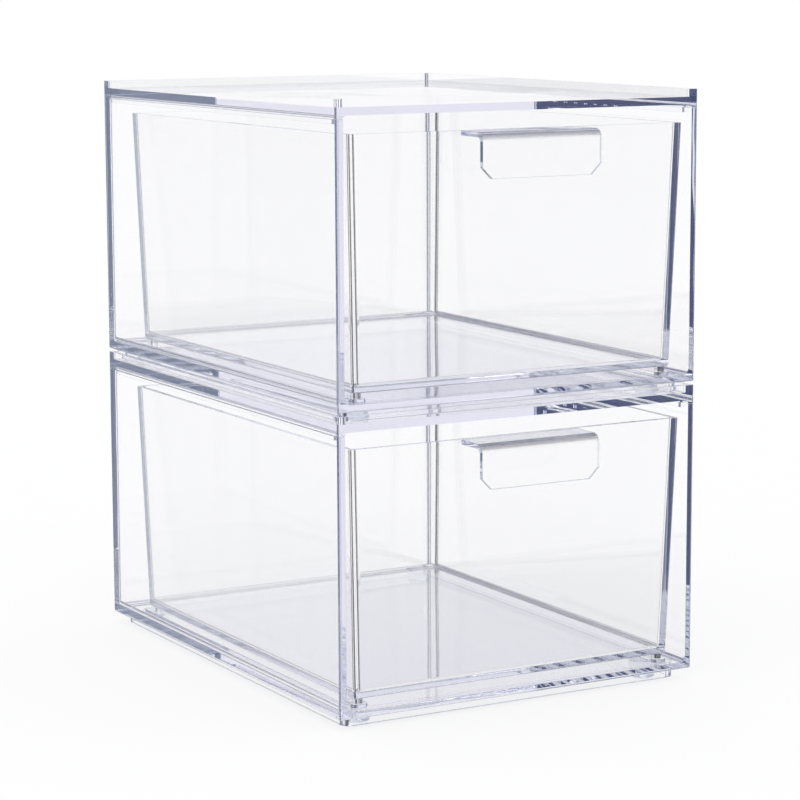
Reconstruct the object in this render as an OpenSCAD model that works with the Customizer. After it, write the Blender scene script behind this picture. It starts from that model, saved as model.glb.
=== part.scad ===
// Two stackable drawer units in clear moulded plastic, one standing on the other.
// Each unit is a case with an open front, a bonded lid with a stacking rim, four
// soft pads and a drafted drawer tub with a bent handle.
// Millimetres, +Z up, front towards -Y. The origin is on the standing plane, in
// the middle of the footprint with the handles counted in.

/* [Case] */
// Outside width of a unit
case_w = 165; // [145:1:200]
// Outside depth of a unit, front to back
case_d = 216; // [190:1:260]
// Height from the standing plane to the top of the lid plate
unit_h = 120; // [105:1:150]
// Thickness of the side and back walls
case_wall = 3; // [2.4:0.1:4]
// Thickness of the case floor
case_floor = 3; // [2.4:0.1:4]
// Radius of the upright outside corners
case_corner_r = 1.2; // [0.6:0.1:2]
// Radius along the outside bottom edges
case_edge_r = 1; // [0.5:0.1:2]
// Radius where the walls meet the floor and each other inside
cavity_r = 3; // [1.5:0.1:4]

/* [Base ring] */
// Distance from the case wall's outside in to the ring
ring_inset = 4.4; // [3.2:0.1:6]
// Thickness of the ring
ring_t = 2.5; // [1.6:0.1:4]
// Height of the ring below the case floor
ring_h = 4; // [3.4:0.1:6]
// Outside corner radius of the ring
ring_r = 5; // [4:0.1:8]

/* [Pads] */
// Diameter of a pad
pad_d = 10; // [6:0.5:14]
// How far a pad stands below the ring
pad_proud = 0.6; // [0.3:0.1:1.2]
// Radius round a pad's lower edge
pad_edge_r = 1; // [0.4:0.1:1.5]
// Gap between a pad and the ring
pad_gap = 3; // [1:0.5:20]

/* [Lid] */
// Thickness of the lid plate
plate_t = 3; // [2.4:0.1:4]
// Height of the stacking rim above the plate
rim_h = 3.2; // [2:0.1:3.6]
// Thickness of the stacking rim
rim_t = 2.6; // [1.6:0.1:3]
// Inside corner radius of the stacking rim
rim_inner_r = 2.4; // [1:0.1:3]
// Height of the lid's edge below the plate, down to the seam
skirt_h = 1.4; // [0.8:0.1:3]
// Thickness of the locating tongue inside the case walls
tongue_t = 1.2; // [0.8:0.1:1.8]
// Reach of the locating tongue below the seam
tongue_h = 1.9; // [1:0.1:2.4]
// Gap between the tongue and the case wall
tongue_fit = 0.1; // [0.05:0.01:0.3]
// Distance from the case front back to the tongue
tongue_setback = 4; // [2:0.5:12]
// Radius between the lid's inside walls and the plate
lid_fillet_r = 1.4; // [0.6:0.1:2.4]

/* [Runners] */
// Width of a moulded runner on the case floor
runner_w = 7; // [5:0.5:10]
// Height of a runner
runner_h = 1.2; // [0.8:0.1:2]
// Distance from the case front back to the runners
runner_setback = 4; // [2:0.5:12]

/* [Drawer] */
// Gap between the drawer's upper edge and a side wall
drawer_side_gap = 3.3; // [1:0.1:6]
// Gap between the drawer's upper edge and the lid plate
drawer_top_gap = 7.2; // [3:0.1:20]
// Distance from the case front back to the drawer front
drawer_setback = 2; // [0.5:0.1:6]
// Gap between the drawer's upper edge and the back wall
drawer_rear_gap = 17.2; // [12:0.1:30]
// Draft of the four drawer walls, in degrees
drawer_draft = 1.7; // [0.5:0.1:2.5]
// Thickness of the drawer walls
drawer_wall = 2.2; // [1.6:0.1:3]
// Thickness of the drawer floor
drawer_floor = 2.2; // [1.6:0.1:3]
// Radius of the drawer's outside corners and bottom edges
drawer_r = 1.2; // [0.8:0.1:3]
// Radius of the drawer's inside corners and bottom edges
drawer_inner_r = 2; // [1:0.1:3]
// Diameter of a foot under the drawer
foot_d = 4; // [3:0.5:5]
// Height of a foot
foot_h = 2; // [1:0.1:3]
// Distance from the drawer's upper edge in to a foot's centre, at front and back
foot_end_inset = 6; // [5:0.5:30]
// Distance from the drawer's upper edge in to a foot's centre, at the sides
foot_side_inset = 5.7; // [5.5:0.1:12]
// How far a drawer slides out
drawer_travel = 180; // [60:5:185]

/* [Handle] */
// Width of the handle
handle_w = 54; // [30:1:90]
// Distance from the drawer front out to the face of the tab
handle_reach = 16; // [10:0.5:24]
// Height of the handle from the ledge's top to the tab's lower edge
handle_drop = 17.8; // [12:0.1:30]
// Thickness of the handle
handle_t = 2; // [1.5:0.1:3]
// Outside radius of the bend
bend_r = 4; // [3.2:0.1:6]
// Length of the cut across the tab's lower corners
handle_chamfer = 4.4; // [1:0.1:8]

/* [Hidden] */
$fn = 64;
loft_fn = 32;
cut_over = 10;
sliver = 0.01;

case_bottom = pad_proud + ring_h;
floor_top = case_bottom + case_floor;
plate_under = unit_h - plate_t;
seam_z = plate_under - skirt_h;
inner_w = case_w - 2 * case_wall;
inner_d = case_d - 2 * case_wall;
case_front = -case_d / 2;
case_back = case_d / 2;
back_inside = case_back - case_wall;

pad_r = pad_d / 2;
pad_x = case_w / 2 - ring_inset - ring_t - pad_gap - pad_r;
pad_y = case_d / 2 - ring_inset - ring_t - pad_gap - pad_r;

draft_rate = tan(drawer_draft);
drawer_top = plate_under - drawer_top_gap;
drawer_under = floor_top + runner_h + foot_h;
drawer_h = drawer_top - drawer_under;
drawer_w = inner_w - 2 * drawer_side_gap;
drawer_front = case_front + drawer_setback;
drawer_back = back_inside - drawer_rear_gap;
drawer_d = drawer_back - drawer_front;
drawer_mid = (drawer_front + drawer_back) / 2;
foot_x = drawer_w / 2 - foot_side_inset;
foot_y = drawer_d / 2 - foot_end_inset;

runner_front = case_front + runner_setback;

handle_proud = handle_reach - drawer_setback;
origin_shift = handle_proud / 2;

// Rectangle with round corners, centred
module rounded_rect(w, d, r) {
    square([w - 2 * r, d], center = true);
    square([w, d - 2 * r], center = true);
    for (x = [-1, 1], y = [-1, 1])
        translate([x * (w / 2 - r), y * (d / 2 - r)]) circle(r);
}

// Block with every edge round, made by crossing the three outlines it shows
module crossed_block(size, plan_r, front_r, side_r) {
    intersection() {
        linear_extrude(size.z, center = true) rounded_rect(size.x, size.y, plan_r);
        rotate([90, 0, 0])
            linear_extrude(size.y, center = true) rounded_rect(size.x, size.z, front_r);
        rotate([90, 0, 90])
            linear_extrude(size.x, center = true) rounded_rect(size.y, size.z, side_r);
    }
}

// Rounded block held to its lowest corner on the left, at the front
module crossed_block_at(low, high, plan_r, edge_r) {
    translate((low + high) / 2) crossed_block(high - low, plan_r, edge_r, edge_r);
}

// Upright wall that follows a rounded rectangle
module ring_wall(w, d, t, h, outer_r, inner_r) {
    linear_extrude(h) difference() {
        rounded_rect(w, d, outer_r);
        rounded_rect(w - 2 * t, d - 2 * t, inner_r);
    }
}

// Outside of the case, cut off flat at the seam
module case_outside() {
    intersection() {
        crossed_block_at(
            [-case_w / 2, case_front, case_bottom],
            [case_w / 2, case_back, seam_z + cut_over],
            case_corner_r, case_edge_r);
        translate([-case_w, -case_d, 0]) cube([2 * case_w, 2 * case_d, seam_z]);
    }
}

// Room for the drawer, open at the front and at the seam
module case_cavity() {
    crossed_block_at(
        [-inner_w / 2, case_front - cut_over, floor_top],
        [inner_w / 2, back_inside, seam_z + cut_over],
        cavity_r, cavity_r);
}

// Low runner with a round front end, as long as the drawer
module runner() {
    nose_y = runner_front + runner_w / 2;
    translate([0, 0, floor_top - sliver]) linear_extrude(runner_h + sliver) {
        translate([0, nose_y]) circle(d = runner_w);
        translate([-runner_w / 2, nose_y]) square([runner_w, drawer_back - nose_y]);
    }
}

module case_shell() {
    color("lavender", 0.35) {
        difference() {
            case_outside();
            case_cavity();
        }
        translate([0, 0, pad_proud])
            ring_wall(case_w - 2 * ring_inset, case_d - 2 * ring_inset, ring_t,
                ring_h, ring_r, ring_r - ring_t);
        for (x = [-1, 1]) translate([x * foot_x, 0, 0]) runner();
    }
}

// Underside of the lid: plate, edge and tongue round a hollow with a filleted top
module lid_body() {
    difference() {
        union() {
            translate([0, 0, seam_z]) linear_extrude(unit_h - seam_z)
                rounded_rect(case_w, case_d, case_corner_r);
            intersection() {
                translate([0, 0, seam_z - tongue_h]) linear_extrude(tongue_h + sliver)
                    rounded_rect(inner_w - 2 * tongue_fit, inner_d - 2 * tongue_fit,
                        cavity_r - tongue_fit);
                translate([-case_w / 2, case_front + tongue_setback, 0])
                    cube([case_w, case_d, unit_h]);
            }
        }
        lid_hollow();
    }
}

// Room under the lid plate, this far in from the case walls, open at the front and below
module lid_room(inset) {
    crossed_block_at(
        [inset - inner_w / 2, case_front - cut_over, seam_z - cut_over],
        [inner_w / 2 - inset, back_inside - inset, plate_under],
        cavity_r - inset, lid_fillet_r);
}

// Narrow between the tongues, and as wide as the case in front of them
module lid_hollow() {
    lid_room(tongue_fit + tongue_t);
    intersection() {
        lid_room(0);
        translate([-case_w, case_front - cut_over, 0])
            cube([2 * case_w, cut_over + tongue_setback, unit_h]);
    }
}

module lid() {
    color("lavender", 0.35) {
        lid_body();
        translate([0, 0, unit_h - sliver])
            ring_wall(case_w, case_d, rim_t, rim_h + sliver, case_corner_r, rim_inner_r);
    }
}

// Soft round pad, stuck under the case floor inside the ring
module pad() {
    color("whitesmoke", 0.6) rotate_extrude() {
        translate([0, pad_edge_r]) square([pad_r, case_bottom - pad_edge_r]);
        square([pad_r - pad_edge_r, case_bottom]);
        translate([pad_r - pad_edge_r, pad_edge_r]) circle(pad_edge_r);
    }
}

// Half ball with its pole at the bottom, on the origin
module low_half_ball(r) {
    translate([0, 0, r]) rotate_extrude($fn = loft_fn) intersection() {
        circle(r, $fn = loft_fn);
        translate([0, -r]) square(r);
    }
}

// Loft of a drafted block: half balls at the bottom, discs at the top
module drafted_block(top_w, top_d, h, r) {
    fall = (h - r) * draft_rate;
    hull() for (x = [-1, 1], y = [-1, 1]) {
        translate([x * (top_w / 2 - fall - r), y * (top_d / 2 - fall - r), 0])
            low_half_ball(r);
        translate([x * (top_w / 2 - r), y * (top_d / 2 - r), h - sliver])
            cylinder(h = sliver, r = r, $fn = loft_fn);
    }
}

module tub_outside() {
    translate([0, drawer_mid, drawer_under])
        drafted_block(drawer_w, drawer_d, drawer_h, drawer_r);
}

module tub_inside() {
    mouth = 2 * (cut_over * draft_rate - drawer_wall);
    translate([0, drawer_mid, drawer_under + drawer_floor])
        drafted_block(drawer_w + mouth, drawer_d + mouth,
            drawer_h - drawer_floor + cut_over, drawer_inner_r);
}

module drawer_feet() {
    for (x = [-1, 1], y = [-1, 1])
        translate([x * foot_x, drawer_mid + y * foot_y, floor_top + runner_h])
            cylinder(h = foot_h + drawer_floor / 2, d = foot_d);
}

module drawer_tub() {
    color("ghostwhite", 0.35) difference() {
        union() {
            tub_outside();
            drawer_feet();
        }
        tub_inside();
    }
}

// Side view of the handle: ledge, bend and tab. Its origin is the drawer front's
// upper edge, with out to the left and up to the top.
module handle_profile() {
    inner_bend_r = bend_r - handle_t;
    translate([-handle_reach + bend_r, -handle_t])
        square([handle_reach - bend_r + cut_over, handle_t]);
    translate([-handle_reach, -handle_drop])
        square([handle_t, handle_drop - bend_r]);
    translate([-handle_reach + bend_r, -bend_r]) intersection() {
        difference() {
            circle(bend_r);
            circle(inner_bend_r);
        }
        translate([-bend_r, 0]) square(bend_r);
    }
}

// Front view of the handle, from the ledge down, with its lower corners cut off
module handle_outline() {
    half = handle_w / 2;
    polygon([
        [-half, cut_over], [half, cut_over],
        [half, handle_chamfer - handle_drop],
        [half - handle_chamfer, -handle_drop],
        [handle_chamfer - half, -handle_drop],
        [-half, handle_chamfer - handle_drop]
    ]);
}

module drawer_handle() {
    color("ghostwhite", 0.35) translate([0, drawer_front, drawer_top]) difference() {
        intersection() {
            rotate([90, 0, 90]) linear_extrude(handle_w, center = true) handle_profile();
            rotate([90, 0, 0]) linear_extrude(3 * handle_reach, center = true) handle_outline();
        }
        // The ledge ends flat on the drafted front wall
        rotate([drawer_draft, 0, 0]) translate([-handle_w, 0, -handle_w])
            cube(2 * handle_w);
    }
}

// A piece of the lower or the upper unit, in its place in the stack
module in_unit(level) {
    translate([0, origin_shift, level * unit_h]) children();
}

module pad_at(x, y) {
    translate([x * pad_x, y * pad_y, 0]) pad();
}

in_unit(0) case_shell();  // lower_case
in_unit(0) lid();  // lower_lid
in_unit(0) pad_at(-1, -1);  // lower_pad_front_left
in_unit(0) pad_at(1, -1);  // lower_pad_front_right
in_unit(0) pad_at(-1, 1);  // lower_pad_back_left
in_unit(0) pad_at(1, 1);  // lower_pad_back_right
in_unit(0) drawer_tub();  // lower_drawer_tub
in_unit(0) drawer_handle();  // lower_drawer_handle
in_unit(1) case_shell();  // upper_case
in_unit(1) lid();  // upper_lid
in_unit(1) pad_at(-1, -1);  // upper_pad_front_left
in_unit(1) pad_at(1, -1);  // upper_pad_front_right
in_unit(1) pad_at(-1, 1);  // upper_pad_back_left
in_unit(1) pad_at(1, 1);  // upper_pad_back_right
in_unit(1) drawer_tub();  // upper_drawer_tub
in_unit(1) drawer_handle();  // upper_drawer_handle
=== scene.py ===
import math

import bmesh
import bpy
from mathutils import Matrix, Vector


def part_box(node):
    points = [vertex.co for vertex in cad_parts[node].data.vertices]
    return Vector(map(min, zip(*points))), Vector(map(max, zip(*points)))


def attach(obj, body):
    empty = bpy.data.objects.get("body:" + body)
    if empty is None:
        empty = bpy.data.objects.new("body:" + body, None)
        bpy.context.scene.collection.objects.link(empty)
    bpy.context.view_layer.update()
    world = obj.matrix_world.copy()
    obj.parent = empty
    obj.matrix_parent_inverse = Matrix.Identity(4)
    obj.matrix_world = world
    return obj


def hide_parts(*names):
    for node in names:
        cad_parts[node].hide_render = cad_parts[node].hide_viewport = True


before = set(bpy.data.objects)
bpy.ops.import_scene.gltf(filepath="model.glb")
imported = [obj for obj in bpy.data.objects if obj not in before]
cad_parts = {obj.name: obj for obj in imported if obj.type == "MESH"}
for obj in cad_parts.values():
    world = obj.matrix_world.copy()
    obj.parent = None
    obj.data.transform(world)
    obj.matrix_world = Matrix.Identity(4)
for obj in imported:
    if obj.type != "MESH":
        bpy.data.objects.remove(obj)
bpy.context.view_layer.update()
scene = bpy.context.scene
millimetre = 0.001
units = ("lower", "upper")
# Lengths are in millimetres and angles in degrees, unless a note says otherwise
print("frame loaded:", len(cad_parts), "nodes")


# Colours are written as sRGB hex and handed to the shaders as linear values
def linearColour(hexText):
    channels = [int(hexText[i:i + 2], 16) / 255 for i in (1, 3, 5)]
    low = [c / 12.92 for c in channels]
    high = [((c + 0.055) / 1.055) ** 2.4 for c in channels]
    return [h if c > 0.04045 else l for c, l, h in zip(channels, low, high)] + [1.0]


# Adds one node, sets its properties and its inputs; an input given as a socket is linked
def addNode(tree, kind, settings=None, inputs=None):
    node = tree.nodes.new(kind)
    for name, value in (settings or {}).items():
        setattr(node, name, value)
    for name, value in (inputs or {}).items():
        socket = node.inputs[name]
        if isinstance(value, bpy.types.NodeSocket):
            tree.links.new(value, socket)
        else:
            socket.default_value = value
    return node


def freshMaterial(name):
    material = bpy.data.materials.new(name)
    material.use_nodes = True
    material.node_tree.nodes.clear()
    return material, material.node_tree


# Ends a clear material: lamp light passes straight through, tinted a little, as it
# nearly does through thin walls, and every other ray meets the surface
def finishClear(tree, surface, shadowTint):
    through = addNode(tree, "ShaderNodeBsdfTransparent", inputs={
        "Color": linearColour(shadowTint),
    })
    ray = addNode(tree, "ShaderNodeLightPath")
    both = addNode(tree, "ShaderNodeMixShader", inputs={
        0: ray.outputs["Is Shadow Ray"],
        1: surface.outputs[0],
        2: through.outputs[0],
    })
    addNode(tree, "ShaderNodeOutputMaterial", inputs={"Surface": both.outputs[0]})


caseStyreneLook = {
    "ior": 1.585,
    "tint": "#FEFEFF",
    "shadowTint": "#F1F2F6",
    "cornerTint": "#34323C",  # painted shade on upright corners, where cast-off light never reaches the eye
    "cornerFrom": 0.6,
    "cornerTo": 0.68,
    "edgeTint": "#8A8CA8",  # painted shade on every other rounded edge, for the dark room it refracts
    "edgeFrom": 0.12,
    "edgeTo": 0.26,
    "flowSize": 38.0,  # between the slow waves that the melt leaves as it fills the mould
    "flowHeight": 0.035,
}
drawerStyreneLook = {
    "ior": 1.585,
    "tint": "#FEFEFE",
    "shadowTint": "#F1F2F6",
    # Painted shade as for the case: near black on upright corners, grey-beige on every other
    # rounded edge
    "cornerTint": "#2A282C",
    "cornerFrom": 0.42,
    "cornerTo": 0.64,
    "edgeTint": "#B4B0AC",
    "edgeFrom": 0.1,
    "edgeTo": 0.25,
    "flowSize": 30.0,
    "flowHeight": 0.012,
}


# How far the surface is turned: away from all three of the part's axes, and about the upright one,
# which sets where clearStyrene paints shade
def turnOf(tree, normal):
    sides = addNode(tree, "ShaderNodeVectorMath", {"operation": "ABSOLUTE"}, {0: normal})
    split = addNode(tree, "ShaderNodeSeparateXYZ", inputs={0: sides.outputs[0]})
    level = {0: split.outputs["X"], 1: split.outputs["Y"]}
    corner = addNode(tree, "ShaderNodeMath", {"operation": "MINIMUM"}, level)
    most = addNode(tree, "ShaderNodeMath", {"operation": "MAXIMUM"}, level)
    most = addNode(tree, "ShaderNodeMath", {"operation": "MAXIMUM"}, {
        0: most.outputs[0],
        1: split.outputs["Z"],
    })
    edge = addNode(tree, "ShaderNodeMath", {"operation": "SUBTRACT"}, {0: 1.0, 1: most.outputs[0]})
    return {"edge": edge.outputs[0], "corner": corner.outputs[0]}


# Moulded clear polystyrene: higher index than glass or acrylic, so its edges carry strong dark and
# white bands while its flat walls nearly vanish;
# the dark bands are also painted into the base colour as shade on rounded edges and upright
# corners
def clearStyrene(name, look):
    material, tree = freshMaterial(name)
    place = addNode(tree, "ShaderNodeTexCoord")
    flow = addNode(tree, "ShaderNodeTexNoise", inputs={
        "Vector": place.outputs["Object"],
        "Scale": 1 / (look["flowSize"] * millimetre),
        "Detail": 1.0,
    })
    waves = addNode(tree, "ShaderNodeBump", inputs={
        "Height": flow.outputs["Fac"],
        "Strength": 1.0,
        "Distance": look["flowHeight"] * millimetre,
    })
    turns = turnOf(tree, place.outputs["Normal"])
    tint = linearColour(look["tint"])
    # Paints shade into the base colour on rounded edges and upright corners, in place of the dark
    # room that they refract
    for part in ("edge", "corner"):
        share = addNode(tree, "ShaderNodeMapRange", {"interpolation_type": "SMOOTHSTEP"}, {
            "Value": turns[part],
            "From Min": look[part + "From"],
            "From Max": look[part + "To"],
        })
        tint = addNode(tree, "ShaderNodeMix", {"data_type": "RGBA"}, {
            "Factor": share.outputs["Result"],
            6: tint,
            7: linearColour(look[part + "Tint"]),
        }).outputs[2]
    clear = addNode(tree, "ShaderNodeBsdfPrincipled", inputs={
        "Base Color": tint,
        "Roughness": 0.0,
        "IOR": look["ior"],
        "Transmission Weight": 1.0,
        "Normal": waves.outputs["Normal"],
    })
    finishClear(tree, clear, look["shadowTint"])
    return material


silicone = {
    "ior": 1.41,
    "tint": "#EDF1F3",
    "shadowTint": "#D9DDE0",
    "roughness": 0.18,
    "grainSize": 0.6,
    "grainHeight": 0.01,
}


# Clear silicone rubber, cast: soft satin, slightly milky
def clearSilicone(name):
    material, tree = freshMaterial(name)
    place = addNode(tree, "ShaderNodeTexCoord")
    grain = addNode(tree, "ShaderNodeTexNoise", inputs={
        "Vector": place.outputs["Object"],
        "Scale": 1 / (silicone["grainSize"] * millimetre),
        "Detail": 2.0,
    })
    satin = addNode(tree, "ShaderNodeBump", inputs={
        "Height": grain.outputs["Fac"],
        "Distance": silicone["grainHeight"] * millimetre,
    })
    rubber = addNode(tree, "ShaderNodeBsdfPrincipled", inputs={
        "Base Color": linearColour(silicone["tint"]),
        "Roughness": silicone["roughness"],
        "IOR": silicone["ior"],
        "Transmission Weight": 1.0,
        "Normal": satin.outputs["Normal"],
    })
    finishClear(tree, rubber, silicone["shadowTint"])
    return material


caseStyrene = clearStyrene("mouldedClearPolystyreneCase", caseStyreneLook)
drawerStyrene = clearStyrene("mouldedClearPolystyreneDrawer", drawerStyreneLook)
padSilicone = clearSilicone("castClearSilicone")
print("materials made")


moulding = {
    "mergeDistance": 0.002,
    "flatAngle": 0.6,  # faces that lie nearer than this to one plane become one face
    "edgeRadius": 0.16,
    "edgeSegments": 2,
    "edgeAngle": 30.0,
    "faceWeight": 100,  # how far a wide face rules the shading of the roundings beside it
    "hairline": 0.03,  # of air where two pieces meet, or of overlap where they are bonded
    "bondDepth": 0.5,  # of the ledge's end that goes into the drawer front's bond
}


# Rounds the sharp edges as a mould does and keeps the wide faces flat
def roundEdges(piece, radius):
    bevel = piece.modifiers.new("mouldEdges", "BEVEL")
    bevel.width = radius * millimetre
    bevel.segments = moulding["edgeSegments"]
    bevel.limit_method = "ANGLE"
    bevel.angle_limit = math.radians(moulding["edgeAngle"])
    bevel.use_clamp_overlap = True
    weights = piece.modifiers.new("flatFaces", "WEIGHTED_NORMAL")
    weights.mode = "FACE_AREA"
    weights.weight = moulding["faceWeight"]


# Turns a modified object into a plain mesh object of the same name
def plainPiece(piece):
    name = piece.name
    seen = piece.evaluated_get(bpy.context.evaluated_depsgraph_get())
    mesh = bpy.data.meshes.new_from_object(seen)
    bpy.data.objects.remove(piece)
    material = [found for found in mesh.materials if found][0]
    mesh.materials.clear()
    mesh.materials.append(material)
    mesh.name = name
    plain = bpy.data.objects.new(name, mesh)
    scene.collection.objects.link(plain)
    return plain


# A moulding's own shape from its CAD node, in whole faces, with rounded edges, and
# fitted to its neighbour where asked
def mouldedPiece(name, node, material, fitJoint=None):
    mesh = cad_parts[node].data.copy()
    form = bmesh.new()
    form.from_mesh(mesh)
    bmesh.ops.remove_doubles(form, verts=form.verts, dist=moulding["mergeDistance"] * millimetre)
    bmesh.ops.dissolve_limit(form, angle_limit=math.radians(moulding["flatAngle"]),
                             verts=form.verts, edges=form.edges)
    if fitJoint:
        fitJoint(form)
    for face in form.faces:
        face.smooth = True
    form.to_mesh(mesh)
    form.free()
    mesh.materials.clear()
    mesh.materials.append(material)
    piece = bpy.data.objects.new(name, mesh)
    scene.collection.objects.link(piece)
    roundEdges(piece, moulding["edgeRadius"])
    return plainPiece(piece)


# Lifts the lid's seam face off the case wall by a hairline of air, which shows as the seam
def liftSeam(unit):
    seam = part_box(unit + "_case")[1].z

    def fitJoint(form):
        for vertex in form.verts:
            if abs(vertex.co.z - seam) < moulding["mergeDistance"] * millimetre:
                vertex.co.z += moulding["hairline"] * millimetre
    return fitJoint


# Sets the ledge's end a hairline into the drawer front, as the bond does, so light runs on
def joinFront(unit):
    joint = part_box(unit + "_drawer_handle")[1].y

    def fitJoint(form):
        for vertex in form.verts:
            if vertex.co.y > joint - moulding["bondDepth"] * millimetre:
                vertex.co.y += moulding["hairline"] * millimetre
    return fitJoint


# Starts a Geometry Nodes tree with one named float input for each size
def shapeTree(name, sizes):
    tree = bpy.data.node_groups.new(name, "GeometryNodeTree")
    for label, value in sizes.items():
        socket = tree.interface.new_socket(label, in_out="INPUT", socket_type="NodeSocketFloat")
        socket.default_value = value
    tree.interface.new_socket("Geometry", in_out="OUTPUT", socket_type="NodeSocketGeometry")
    return tree, addNode(tree, "NodeGroupInput").outputs


# Ends a tree in real faces of one material
def endTree(tree, geometry, material):
    real = addNode(tree, "GeometryNodeRealizeInstances", inputs={"Geometry": geometry})
    dressed = addNode(tree, "GeometryNodeSetMaterial", inputs={
        "Geometry": real.outputs[0],
        "Material": material,
    })
    smooth = addNode(tree, "GeometryNodeSetShadeSmooth", inputs={"Geometry": dressed.outputs[0]})
    addNode(tree, "NodeGroupOutput", inputs={"Geometry": smooth.outputs[0]})


# One copy of a shape at each corner of an oblong, which is moved by the offset
def atFourCorners(tree, across, along, offset, shape):
    oblong = addNode(tree, "GeometryNodeMeshGrid", inputs={
        "Size X": across,
        "Size Y": along,
        "Vertices X": 2,
        "Vertices Y": 2,
    })
    place = addNode(tree, "ShaderNodeCombineXYZ", inputs=offset)
    moved = addNode(tree, "GeometryNodeSetPosition", inputs={
        "Geometry": oblong.outputs["Mesh"],
        "Offset": place.outputs[0],
    })
    copies = addNode(tree, "GeometryNodeInstanceOnPoints", inputs={
        "Points": moved.outputs[0],
        "Instance": shape.outputs["Mesh"],
    })
    return copies.outputs[0]


# An object whose shape is the tree's, with the tree's inputs set by their identifiers
def shapedObject(name, tree, sizes):
    piece = bpy.data.objects.new(name, bpy.data.meshes.new(name))
    scene.collection.objects.link(piece)
    shape = piece.modifiers.new("shape", "NODES")
    shape.node_group = tree
    for item in tree.interface.items_tree:
        if item.in_out == "INPUT":
            shape[item.identifier] = sizes[item.name]
    return piece


# Block with drafted sides: four balls low down, four discs at the top, and the skin round them
def draftedBlockTree():
    # Sizes in metres to start from; each use of the block sets its own
    sizes = {"Top Width": 0.15, "Top Depth": 0.2, "Height": 0.1, "Radius": 0.004, "Draft": 0.03}
    tree, given = shapeTree("draftedBlock", sizes)
    straight = addNode(tree, "ShaderNodeMath", {"operation": "SUBTRACT"}, {
        0: given["Height"],
        1: given["Radius"],
    })
    fall = addNode(tree, "ShaderNodeMath", {"operation": "MULTIPLY"}, {
        0: straight.outputs[0],
        1: given["Draft"],
    })
    topSpan, lowSpan = {}, {}
    for side in ("Width", "Depth"):
        topSpan[side] = addNode(tree, "ShaderNodeMath", {"operation": "MULTIPLY_ADD"}, {
            0: given["Radius"],
            1: -2.0,
            2: given["Top " + side],
        }).outputs[0]
        lowSpan[side] = addNode(tree, "ShaderNodeMath", {"operation": "MULTIPLY_ADD"}, {
            0: fall.outputs[0],
            1: -2.0,
            2: topSpan[side],
        }).outputs[0]
    ball = addNode(tree, "GeometryNodeMeshUVSphere", inputs={
        "Segments": tub["roundSteps"],
        "Rings": tub["roundSteps"] // 2,
        "Radius": given["Radius"],
    })
    disc = addNode(tree, "GeometryNodeMeshCircle", inputs={
        "Vertices": tub["roundSteps"],
        "Radius": given["Radius"],
    })
    corners = addNode(tree, "GeometryNodeJoinGeometry")
    for span, height, shape in ((lowSpan, "Radius", ball), (topSpan, "Height", disc)):
        four = atFourCorners(tree, span["Width"], span["Depth"], {"Z": given[height]}, shape)
        tree.links.new(four, corners.inputs[0])
    real = addNode(tree, "GeometryNodeRealizeInstances", inputs={0: corners.outputs[0]})
    skin = addNode(tree, "GeometryNodeConvexHull", inputs={0: real.outputs[0]})
    addNode(tree, "NodeGroupOutput", inputs={"Geometry": skin.outputs[0]})
    return tree


tub = {
    "draft": 1.7,
    "wall": 2.2,
    "floor": 2.2,
    "outerRadius": 1.2,
    "innerRadius": 2.0,
    "footDiameter": 4.0,
    "footHeight": 2.0,
    "footInFromSide": 5.7,
    "footInFromEnd": 6.0,
    "mouth": 10.0,  # how far the hollow runs on above the upper edge
    "footSteps": 48,
    "roundSteps": 96,
    "edgeRadius": 0.3,
}


# Drafted tub with round corners: a solid block less a smaller one, on four feet
def tubTree(sizes):
    block = draftedBlockTree()
    tree, given = shapeTree("drawerTub", sizes)

    def placedBlock(width, depth, height, radius, base):
        made = addNode(tree, "GeometryNodeGroup", {"node_tree": block}, {
            "Top Width": width,
            "Top Depth": depth,
            "Height": height,
            "Radius": radius,
            "Draft": given["Draft"],
        })
        place = addNode(tree, "ShaderNodeCombineXYZ", inputs={"Y": given["Middle"], "Z": base})
        return addNode(tree, "GeometryNodeTransform", inputs={
            "Geometry": made.outputs[0],
            "Translation": place.outputs[0],
        }).outputs[0]

    outside = placedBlock(given["Width"], given["Depth"], given["Height"],
                          given["Outer Radius"], given["Underside"])
    inside = placedBlock(given["Inside Width"], given["Inside Depth"], given["Inside Height"],
                         given["Inner Radius"], given["Floor Top"])
    foot = addNode(tree, "GeometryNodeMeshCylinder", inputs={
        "Vertices": tub["footSteps"],
        "Radius": given["Foot Radius"],
        "Depth": given["Foot Length"],
    })
    feet = atFourCorners(tree, given["Foot Span X"], given["Foot Span Y"], {
        "Y": given["Middle"],
        "Z": given["Foot Middle"],
    }, foot)
    realFeet = addNode(tree, "GeometryNodeRealizeInstances", inputs={0: feet})
    standing = addNode(tree, "GeometryNodeMeshBoolean", {"operation": "UNION", "solver": "EXACT"})
    tree.links.new(outside, standing.inputs["Mesh 2"])
    tree.links.new(realFeet.outputs[0], standing.inputs["Mesh 2"])
    hollow = addNode(tree, "GeometryNodeMeshBoolean", {
        "operation": "DIFFERENCE",
        "solver": "EXACT",
    }, {
        "Mesh 1": standing.outputs["Mesh"],
        "Mesh 2": inside,
    })
    endTree(tree, hollow.outputs["Mesh"], drawerStyrene)
    return tree


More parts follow.
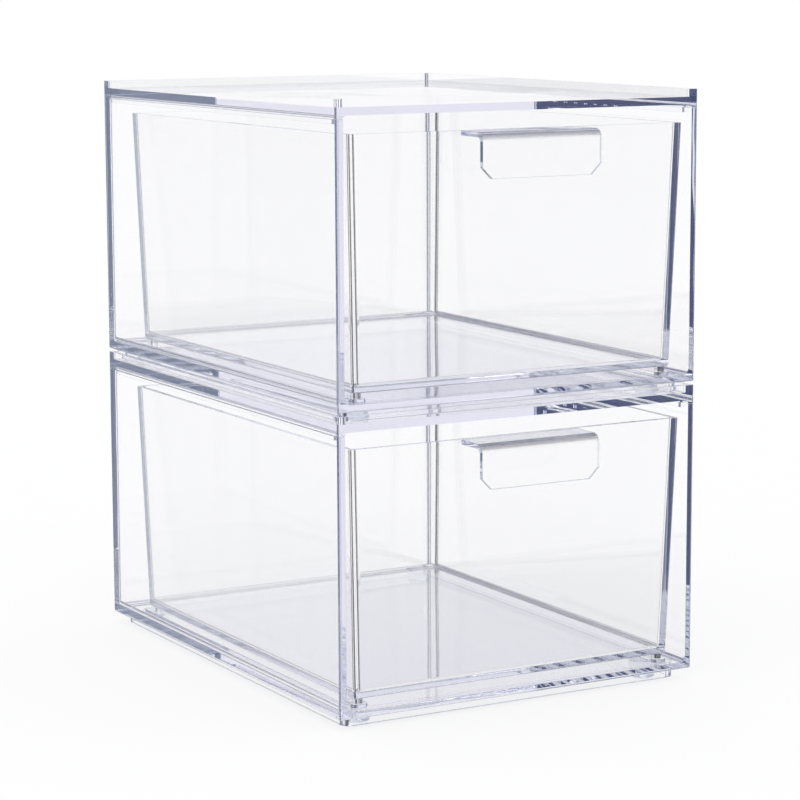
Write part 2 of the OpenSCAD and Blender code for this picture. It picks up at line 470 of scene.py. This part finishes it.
# The tub to the size of its CAD node
def makeTub(unit):
    low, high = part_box(unit + "_drawer_tub")
    rate = math.tan(math.radians(tub["draft"]))
    footHeight = tub["footHeight"] * millimetre
    underside = low.z + footHeight
    floorTop = underside + tub["floor"] * millimetre
    mouth = tub["mouth"] * millimetre
    # The hollow's sides lean on above the edge, so it is wider at its own top
    wider = 2 * (mouth * rate - tub["wall"] * millimetre)
    footLength = footHeight + tub["floor"] / 2 * millimetre
    footLow = low.z + moulding["hairline"] * millimetre
    sizes = {
        "Width": high.x - low.x,
        "Depth": high.y - low.y,
        "Height": high.z - underside,
        "Outer Radius": tub["outerRadius"] * millimetre,
        "Underside": underside,
        "Inside Width": high.x - low.x + wider,
        "Inside Depth": high.y - low.y + wider,
        "Inside Height": high.z - floorTop + mouth,
        "Inner Radius": tub["innerRadius"] * millimetre,
        "Floor Top": floorTop,
        "Draft": rate,
        "Middle": (low.y + high.y) / 2,
        "Foot Radius": tub["footDiameter"] / 2 * millimetre,
        "Foot Length": footLength,
        "Foot Middle": footLow + footLength / 2,
        "Foot Span X": high.x - low.x - 2 * tub["footInFromSide"] * millimetre,
        "Foot Span Y": high.y - low.y - 2 * tub["footInFromEnd"] * millimetre,
    }
    piece = shapedObject(unit + "DrawerTub", tubTree(sizes), sizes)
    whole = piece.modifiers.new("wholeFaces", "DECIMATE")
    whole.decimate_type = "DISSOLVE"
    whole.angle_limit = math.radians(moulding["flatAngle"])
    roundEdges(piece, tub["edgeRadius"])
    return plainPiece(piece)


pad = {"edgeRadius": 1.0, "steps": 64, "edgeSteps": 5}


# Four round pads under one case, each a turned disc
def padTree(sizes):
    tree, given = shapeTree("standingPads", sizes)
    disc = addNode(tree, "GeometryNodeMeshCylinder", inputs={
        "Vertices": pad["steps"],
        "Radius": given["Radius"],
        "Depth": given["Height"],
    })
    pads = atFourCorners(tree, given["Span X"], given["Span Y"], {
        "Y": given["Middle"],
        "Z": given["Height Middle"],
    }, disc)
    endTree(tree, pads, padSilicone)
    return tree


# The pads of one unit, a hairline short at both ends so that they press on nothing
def makePads(unit):
    frontLow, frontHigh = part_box(unit + "_pad_front_left")
    backLow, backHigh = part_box(unit + "_pad_back_right")
    hairline = moulding["hairline"] * millimetre
    sizes = {
        "Radius": (frontHigh.x - frontLow.x) / 2,
        "Height": frontHigh.z - frontLow.z - 2 * hairline,
        "Height Middle": (frontHigh.z + frontLow.z) / 2,
        "Span X": backLow.x - frontLow.x,
        "Span Y": backLow.y - frontLow.y,
        "Middle": (frontLow.y + backHigh.y) / 2,
    }
    piece = shapedObject(unit + "Pads", padTree(sizes), sizes)
    bevel = piece.modifiers.new("softEdges", "BEVEL")
    bevel.width = pad["edgeRadius"] * millimetre
    bevel.segments = pad["edgeSteps"]
    bevel.limit_method = "ANGLE"
    return plainPiece(piece)


for unit in units:
    case = mouldedPiece(unit + "Case", unit + "_case", caseStyrene)
    lid = mouldedPiece(unit + "Lid", unit + "_lid", caseStyrene, liftSeam(unit))
    pads = makePads(unit)
    drawer = makeTub(unit)
    handle = mouldedPiece(unit + "DrawerHandle", unit + "_drawer_handle", drawerStyrene,
                          joinFront(unit))
    padNodes = [unit + "_pad_" + end + "_" + side
                for end in ("front", "back") for side in ("left", "right")]
    dressed = [
        (case, [unit + "_case"], unit + "_unit", "case_styrene"),
        (lid, [unit + "_lid"], unit + "_unit", "case_styrene"),
        (pads, padNodes, unit + "_unit", "clear_silicone"),
        (drawer, [unit + "_drawer_tub"], unit + "_drawer", "drawer_styrene"),
        (handle, [unit + "_drawer_handle"], unit + "_drawer", "drawer_styrene"),
    ]
    for piece, nodes, body, slot in dressed:
        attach(piece, body)
        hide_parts(*nodes)
    print(unit, "unit dressed:", [len(row[0].data.polygons) for row in dressed], "faces")


studio = {
    "floorSize": 6.0,  # metres
    "floorWhite": "#F4F4F6",
    "floorGlow": 0.85,  # share of the paper's white that doesn't depend on the light
    "sweepFrom": 0.3,  # metres from the middle at which the paper begins to fade into white
    "sweepTo": 1.1,
    "worldLight": 0.9,
    "tallWall": 75.0,  # how high the dark wall behind the camera stands
    "lowWall": 19.0,  # how high the dark walls behind the object stand
    "wallTurn": 0.1,  # how gently the tall wall goes over into the low ones
    "wallSoft": 0.04,
    "levelTo": 5.0,  # light is nearly level up to this slope
    "levelSoft": 1.0,
    "levelBounces": 1.5,  # reflections after which nearly level light has run inside a plate
    "steepBounces": 2.5,  # the same for all other light
    "ceiling": "#C8CCDA",
    "ceilingFrom": 13.0,
    "ceilingSoft": 4.0,
    # What stands round the object, by direction in degrees from the right side on
    "room": [
        (0, "#4F7FE0"), (14, "#9DBBF2"), (22, "#E6E6F4"), (84, "#E6E6F4"), (90, "#9DBBF2"),
        (96, "#2F4FB0"), (102, "#24366E"), (150, "#16224A"), (172, "#5A6FA8"), (190, "#B8BCD0"),
        (250, "#B8BCD0"), (266, "#5C6376"), (276, "#3A4F74"), (332, "#3A4F74"), (346, "#2F5FD0"),
        (360, "#4F7FE0"),
    ],
}


# The upward share of a direction with this slope
def rise(slope):
    return math.sin(math.radians(slope))


# Whether light has been reflected more often than this, as light that runs inside a plate is
def isGuided(tree, bounces):
    ray = addNode(tree, "ShaderNodeLightPath")
    return addNode(tree, "ShaderNodeMath", {"operation": "GREATER_THAN"}, {
        0: ray.outputs["Glossy Depth"],
        1: bounces,
    }).outputs[0]


# Pale paper that takes the object's shadow and fades into the white background
def makeFloor():
    half = studio["floorSize"] / 2
    mesh = bpy.data.meshes.new("floor")
    corners = [(-half, -half, 0), (half, -half, 0), (half, half, 0), (-half, half, 0)]
    mesh.from_pydata(corners, [], [(0, 1, 2, 3)])
    floor = bpy.data.objects.new("floor", mesh)
    scene.collection.objects.link(floor)
    material, tree = freshMaterial("matteStudioPaper")
    paper = addNode(tree, "ShaderNodeBsdfDiffuse", inputs={
        "Color": linearColour(studio["floorWhite"]),
    })
    glow = addNode(tree, "ShaderNodeEmission", inputs={"Color": linearColour("#FFFFFF")})
    place = addNode(tree, "ShaderNodeTexCoord")
    distance = addNode(tree, "ShaderNodeVectorMath", {"operation": "LENGTH"}, {
        0: place.outputs["Object"],
    })
    fade = addNode(tree, "ShaderNodeMapRange", {"interpolation_type": "SMOOTHSTEP"}, {
        "Value": distance.outputs["Value"],
        "From Min": studio["sweepFrom"],
        "From Max": studio["sweepTo"],
        "To Min": studio["floorGlow"],
        "To Max": 1.0,
    })
    ray = addNode(tree, "ShaderNodeLightPath")
    seen = addNode(tree, "ShaderNodeMath", {"operation": "SUBTRACT"}, {
        0: 1.0,
        1: ray.outputs["Is Diffuse Ray"],
    })
    share = addNode(tree, "ShaderNodeMath", {"operation": "MULTIPLY"}, {
        0: seen.outputs[0],
        1: fade.outputs["Result"],
    })
    both = addNode(tree, "ShaderNodeMixShader", inputs={
        0: share.outputs[0],
        1: paper.outputs[0],
        2: glow.outputs[0],
    })
    # Light that has run inside the plastic leaves past the paper's edge
    past = addNode(tree, "ShaderNodeBsdfTransparent")
    edge = addNode(tree, "ShaderNodeMixShader", inputs={
        0: isGuided(tree, studio["steepBounces"]),
        1: both.outputs[0],
        2: past.outputs[0],
    })
    addNode(tree, "ShaderNodeOutputMaterial", inputs={"Surface": edge.outputs[0]})
    mesh.materials.append(material)


# White all round for the eye and for plain reflections; what has run inside the plastic
# comes out at its edges and shows the dark room instead
def makeWorld():
    world = bpy.data.worlds.new("paleStudio")
    scene.world = world
    world.use_nodes = True
    tree = world.node_tree
    tree.nodes.clear()
    direction = addNode(tree, "ShaderNodeTexCoord")
    split = addNode(tree, "ShaderNodeSeparateXYZ", inputs={0: direction.outputs["Generated"]})
    turn = addNode(tree, "ShaderNodeMath", {"operation": "ARCTAN2"}, {
        0: split.outputs["Y"],
        1: split.outputs["X"],
    })
    share = addNode(tree, "ShaderNodeMath", {"operation": "DIVIDE"}, {
        0: turn.outputs[0],
        1: 2 * math.pi,
    })
    around = addNode(tree, "ShaderNodeMath", {"operation": "FLOORED_MODULO"}, {
        0: share.outputs[0],
        1: 1.0,
    })
    ramp = addNode(tree, "ShaderNodeValToRGB", inputs={0: around.outputs[0]})
    stops = ramp.color_ramp.elements
    stops[0].position, stops[0].color = 0, linearColour(studio["room"][0][1])
    stops[1].position, stops[1].color = 1, linearColour(studio["room"][-1][1])
    for angle, colour in studio["room"][1:-1]:
        stops.new(angle / 360).color = linearColour(colour)
    # Dark walls: the one behind the camera is tall, the others are low
    slope = addNode(tree, "ShaderNodeMath", {"operation": "ABSOLUTE"}, {0: split.outputs["Z"]})
    wallTop = addNode(tree, "ShaderNodeMapRange", inputs={
        "Value": split.outputs["Y"],
        "From Min": -studio["wallTurn"],
        "From Max": studio["wallTurn"],
        "To Min": rise(studio["tallWall"]),
        "To Max": rise(studio["lowWall"]),
    })
    over = addNode(tree, "ShaderNodeMath", {"operation": "SUBTRACT"}, {
        0: slope.outputs[0],
        1: wallTop.outputs["Result"],
    })
    band = addNode(tree, "ShaderNodeMapRange", inputs={
        "Value": over.outputs[0],
        "From Min": -studio["wallSoft"],
        "From Max": studio["wallSoft"],
        "To Min": 1.0,
        "To Max": 0.0,
    })
    # Nearly level light comes from the lid plate after two reflections, other light after more
    bounces = addNode(tree, "ShaderNodeMapRange", inputs={
        "Value": slope.outputs[0],
        "From Min": rise(studio["levelTo"] - studio["levelSoft"]),
        "From Max": rise(studio["levelTo"] + studio["levelSoft"]),
        "To Min": studio["levelBounces"],
        "To Max": studio["steepBounces"],
    })
    dark = addNode(tree, "ShaderNodeMath", {"operation": "MULTIPLY"}, {
        0: band.outputs["Result"],
        1: isGuided(tree, bounces.outputs["Result"]),
    })
    # The ceiling is darker than the backdrop, and every turned edge shows it
    high = addNode(tree, "ShaderNodeMapRange", inputs={
        "Value": split.outputs["Z"],
        "From Min": rise(studio["ceilingFrom"] - studio["ceilingSoft"]),
        "From Max": rise(studio["ceilingFrom"] + studio["ceilingSoft"]),
    })
    backdrop = addNode(tree, "ShaderNodeMix", {"data_type": "RGBA"}, {
        "Factor": high.outputs[0],
        6: linearColour("#FFFFFF"),
        7: linearColour(studio["ceiling"]),
    })
    colour = addNode(tree, "ShaderNodeMix", {"data_type": "RGBA"}, {
        "Factor": dark.outputs[0],
        6: backdrop.outputs[2],
        7: ramp.outputs["Color"],
    })
    room = addNode(tree, "ShaderNodeBackground", inputs={"Color": colour.outputs[2]})
    light = addNode(tree, "ShaderNodeBackground", inputs={
        "Color": linearColour("#FFFFFF"),
        "Strength": studio["worldLight"],
    })
    white = addNode(tree, "ShaderNodeBackground", inputs={"Color": linearColour("#FFFFFF")})
    ray = addNode(tree, "ShaderNodeLightPath")
    lit = addNode(tree, "ShaderNodeMixShader", inputs={
        0: ray.outputs["Is Diffuse Ray"],
        1: room.outputs[0],
        2: light.outputs[0],
    })
    seen = addNode(tree, "ShaderNodeMixShader", inputs={
        0: ray.outputs["Is Camera Ray"],
        1: lit.outputs[0],
        2: white.outputs[0],
    })
    addNode(tree, "ShaderNodeOutputWorld", inputs={"Surface": seen.outputs[0]})


photoCamera = {
    "azimuth": -29.494,
    "elevation": 8.853,
    "roll": -0.211,
    "distance": 1171.15,
    "aimRight": 4.932,
    "aimUp": -10.858,
    "rimHeight": 3.2,  # from the lower lid's plate, which it aims at, to that lid's top
    "lens": 123.404,
    "sensor": 36,
    "nearest": 50.0,
}


# Looks at the middle of the stack from the front left, turned as the photograph is
def makeCamera():
    turn = math.radians(photoCamera["azimuth"])
    lift = math.radians(photoCamera["elevation"])
    roll = math.radians(photoCamera["roll"])
    level = Vector((math.cos(turn), math.sin(turn), 0))
    outward = Vector((math.sin(turn), -math.cos(turn), 0))
    back = outward * math.cos(lift) + Vector((0, 0, math.sin(lift)))
    upright = back.cross(level)
    right = level * math.cos(roll) + upright * math.sin(roll)
    up = upright * math.cos(roll) - level * math.sin(roll)
    caseLow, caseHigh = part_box("lower_case")
    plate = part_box("lower_lid")[1].z - photoCamera["rimHeight"] * millimetre
    middle = Vector((0, (caseLow.y + caseHigh.y) / 2, plate))
    aside = right * photoCamera["aimRight"] + up * photoCamera["aimUp"]
    place = middle + (aside + back * photoCamera["distance"]) * millimetre
    camera = bpy.data.objects.new("photoCamera", bpy.data.cameras.new("photoCamera"))
    camera.data.sensor_width = photoCamera["sensor"]
    camera.data.lens = photoCamera["lens"]
    camera.data.clip_start = photoCamera["nearest"] * millimetre
    turned = Matrix((right, up, back)).transposed().to_4x4()
    camera.matrix_world = Matrix.Translation(place) @ turned
    scene.collection.objects.link(camera)
    scene.camera = camera


# In metres and watts
softbox = {"place": (-0.5, -0.6, 1.9), "target": (0, 0, 0.1), "size": 1.6, "power": 14.0}


# One wide soft lamp above and in front of the object
def makeLamp():
    lamp = bpy.data.lights.new("softboxAbove", "AREA")
    lamp.shape = "SQUARE"
    lamp.size = softbox["size"]
    lamp.energy = softbox["power"]
    holder = bpy.data.objects.new("softboxAbove", lamp)
    holder.location = softbox["place"]
    aim = Vector(softbox["target"]) - Vector(softbox["place"])
    holder.rotation_euler = aim.to_track_quat("-Z", "Y").to_euler()
    scene.collection.objects.link(holder)
    holder.visible_camera = False


makeFloor()
makeWorld()
makeCamera()
makeLamp()
scene.view_settings.view_transform = "Standard"
# Light that runs inside a plate is reflected dozens of times before it leaves
mostBounces = 128
scene.cycles.max_bounces = mostBounces
scene.cycles.transmission_bounces = mostBounces
scene.cycles.glossy_bounces = mostBounces
scene.cycles.transparent_max_bounces = mostBounces
scene.cycles.caustics_reflective = False
scene.cycles.caustics_refractive = False
print("studio made")
